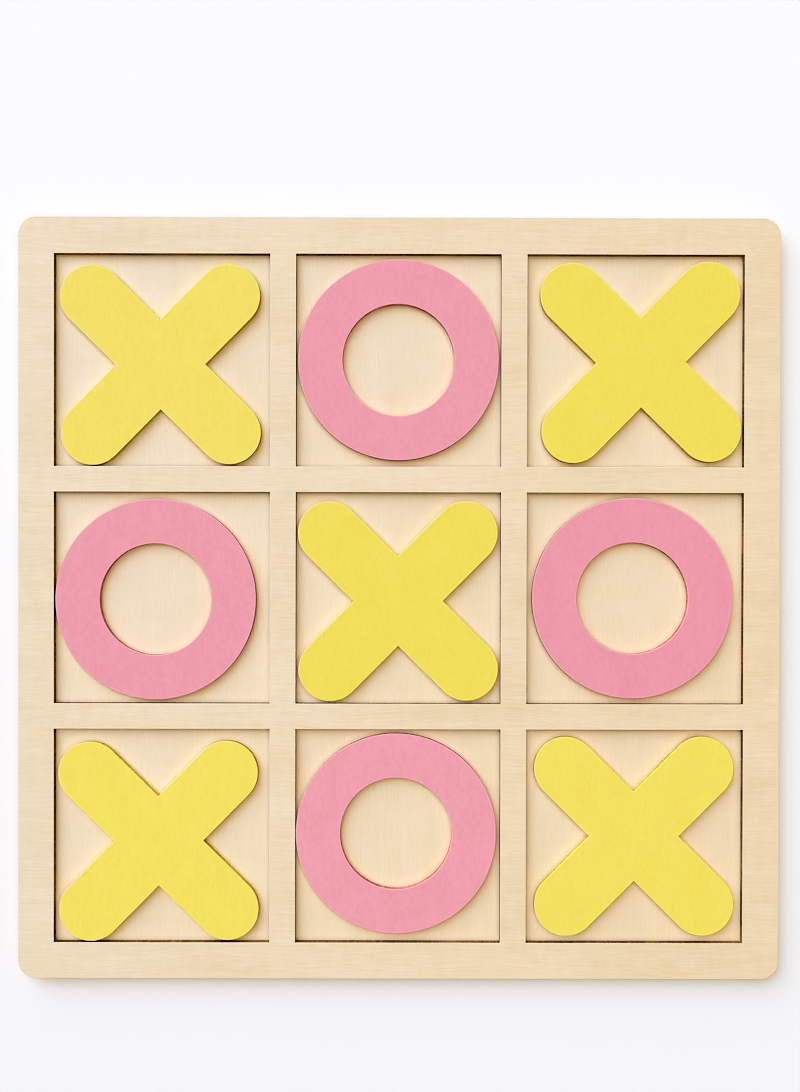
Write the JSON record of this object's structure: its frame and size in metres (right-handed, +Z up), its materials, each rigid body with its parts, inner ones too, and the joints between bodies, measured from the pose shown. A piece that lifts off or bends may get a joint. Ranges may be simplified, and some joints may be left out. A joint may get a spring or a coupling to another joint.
{
  "type": "tabletop tic-tac-toe board",
  "caption": "Flat plywood tic-tac-toe board: a square-windowed lattice glued on a base board makes shallow wells that hold loose, liftable X and O pieces.",
  "frame": {"origin": "middle of the underside of the base board, on the surface the game lies on", "axes": "+X to the right along a row of wells, +Y away from the player, +Z up out of the wells"},
  "size_m": [0.3, 0.3, 0.006],
  "materials": {
    "lattice_ply": "bare sanded light plywood, grain along X, laser-browned cut edges",
    "base_ply": "bare sanded light plywood, grain along Y, laser-browned cut edges",
    "yellow_paint": "plywood with matte yellow paint on its faces, browned cut edges",
    "pink_paint": "plywood with matte pink paint on its faces, browned cut edges"
  },
  "bodies": {
    "board": {"base_board": "base_ply", "lattice": "lattice_ply"},
    "x_back_left": {"x_back_left": "yellow_paint"},
    "o_back_middle": {"o_back_middle": "pink_paint"},
    "x_back_right": {"x_back_right": "yellow_paint"},
    "o_middle_left": {"o_middle_left": "pink_paint"},
    "x_centre": {"x_centre": "yellow_paint"},
    "o_middle_right": {"o_middle_right": "pink_paint"},
    "x_front_left": {"x_front_left": "yellow_paint"},
    "o_front_middle": {"o_front_middle": "pink_paint"},
    "x_front_right": {"x_front_right": "yellow_paint"}
  },
  "joints": [
    {"name": "x_back_left_lift", "type": "slide", "parent": "board", "child": "x_back_left", "axis": [0, 0, 1], "range_m": [0, 0.04]},
    {"name": "o_back_middle_lift", "type": "slide", "parent": "board", "child": "o_back_middle", "axis": [0, 0, 1], "range_m": [0, 0.04]},
    {"name": "x_back_right_lift", "type": "slide", "parent": "board", "child": "x_back_right", "axis": [0, 0, 1], "range_m": [0, 0.04]},
    {"name": "o_middle_left_lift", "type": "slide", "parent": "board", "child": "o_middle_left", "axis": [0, 0, 1], "range_m": [0, 0.04]},
    {"name": "x_centre_lift", "type": "slide", "parent": "board", "child": "x_centre", "axis": [0, 0, 1], "range_m": [0, 0.04]},
    {"name": "o_middle_right_lift", "type": "slide", "parent": "board", "child": "o_middle_right", "axis": [0, 0, 1], "range_m": [0, 0.04]},
    {"name": "x_front_left_lift", "type": "slide", "parent": "board", "child": "x_front_left", "axis": [0, 0, 1], "range_m": [0, 0.04]},
    {"name": "o_front_middle_lift", "type": "slide", "parent": "board", "child": "o_front_middle", "axis": [0, 0, 1], "range_m": [0, 0.04]},
    {"name": "x_front_right_lift", "type": "slide", "parent": "board", "child": "x_front_right", "axis": [0, 0, 1], "range_m": [0, 0.04]}
  ]
}
